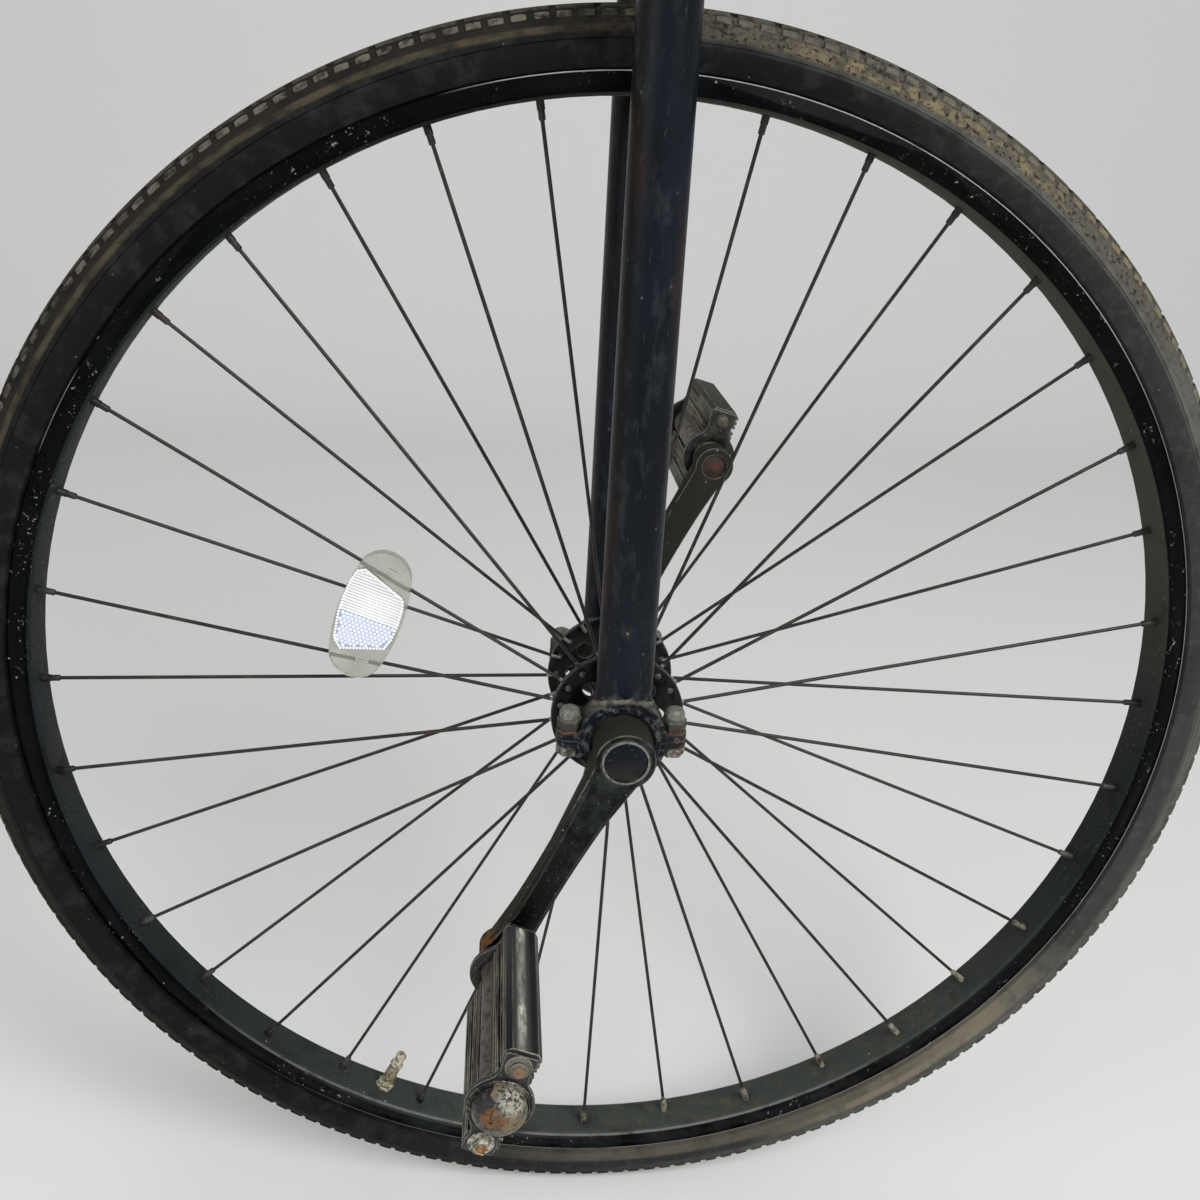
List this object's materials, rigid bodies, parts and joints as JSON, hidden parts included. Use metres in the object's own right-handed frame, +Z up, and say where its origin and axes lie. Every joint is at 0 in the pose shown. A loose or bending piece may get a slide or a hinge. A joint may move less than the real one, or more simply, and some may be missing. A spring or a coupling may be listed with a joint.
{
  "type": "penny farthing driving wheel in its fork",
  "caption": "Spoked driving wheel with direct cranks and rubber-block pedals, turning in split bearings between the tubular blades of its steering fork.",
  "frame": {"origin": "on the steerer's axis, where the bare steerer rises out of the crown race", "axes": "+Z up along the steerer, +Y along the axle to the machine's right, the machine faces -X"},
  "size_m": [0.6999, 0.407, 0.927],
  "materials": {
    "fork_paint": "satin black paint, scratched, with dust",
    "raw_steel": "bare steel, dull",
    "tyre": "matt black rubber, dusty",
    "rim_enamel": "gloss black enamel, scratched",
    "hub_enamel": "gloss black enamel, dusty",
    "spoke_steel": "blackened wire, rust specks",
    "nut_steel": "plated steel, corroded",
    "crank_enamel": "black enamel, worn to brown at the edges",
    "cap_plastic": "dark blue-black moulded cap",
    "pedal_steel": "black pressed steel, chipped",
    "pedal_chrome": "pitted chrome with rust",
    "pedal_rubber": "black rubber with brown dust",
    "clear_plastic": "clear moulded plastic",
    "prism_plastic": "white prismatic reflector panel",
    "valve_brass": "brass, tarnished"
  },
  "bodies": {
    "fork": {"steerer": "raw_steel", "crown_race": "raw_steel", "fork_crown": "fork_paint", "fork_blade_left": "fork_paint", "bearing_holder_left": "fork_paint", "bearing_cap_left": "fork_paint", "holder_bolts_left": "nut_steel", "bearing_outer_left": "raw_steel", "fork_blade_right": "fork_paint", "bearing_holder_right": "fork_paint", "bearing_cap_right": "fork_paint", "holder_bolts_right": "nut_steel", "bearing_outer_right": "raw_steel"},
    "wheel": {"tyre": "tyre", "rim": "rim_enamel", "hub_shell": "hub_enamel", "axle": "raw_steel", "reflector_body": "clear_plastic", "reflector_lens": "prism_plastic", "valve": "valve_brass", "spokes_left": "spoke_steel", "bearing_inner_left": "raw_steel", "crank_left": "crank_enamel", "crank_cap_left": "cap_plastic", "pedal_spindle_left": "raw_steel", "spokes_right": "spoke_steel", "bearing_inner_right": "raw_steel", "crank_right": "crank_enamel", "crank_cap_right": "cap_plastic", "pedal_spindle_right": "raw_steel"},
    "pedal_left": {"pedal_barrel_left": "pedal_steel", "pedal_dome_left": "pedal_chrome", "pedal_inner_plate_left": "pedal_steel", "pedal_outer_plate_left": "pedal_steel", "pedal_rods_left": "nut_steel", "pedal_blocks_left": "pedal_rubber"},
    "pedal_right": {"pedal_barrel_right": "pedal_steel", "pedal_dome_right": "pedal_chrome", "pedal_inner_plate_right": "pedal_steel", "pedal_outer_plate_right": "pedal_steel", "pedal_rods_right": "nut_steel", "pedal_blocks_right": "pedal_rubber"}
  },
  "joints": [
    {"name": "wheel_spin", "type": "hinge", "parent": "fork", "child": "wheel", "pos_m": [0, 0, -0.417], "axis": [0, 1, 0], "continuous": true},
    {"name": "pedal_left_spin", "type": "hinge", "parent": "wheel", "child": "pedal_left", "pos_m": [-0.06021, -0.14, -0.52882], "axis": [0, 1, 0], "continuous": true},
    {"name": "pedal_right_spin", "type": "hinge", "parent": "wheel", "child": "pedal_right", "pos_m": [0.06021, 0.14, -0.30518], "axis": [0, 1, 0], "continuous": true}
  ]
}
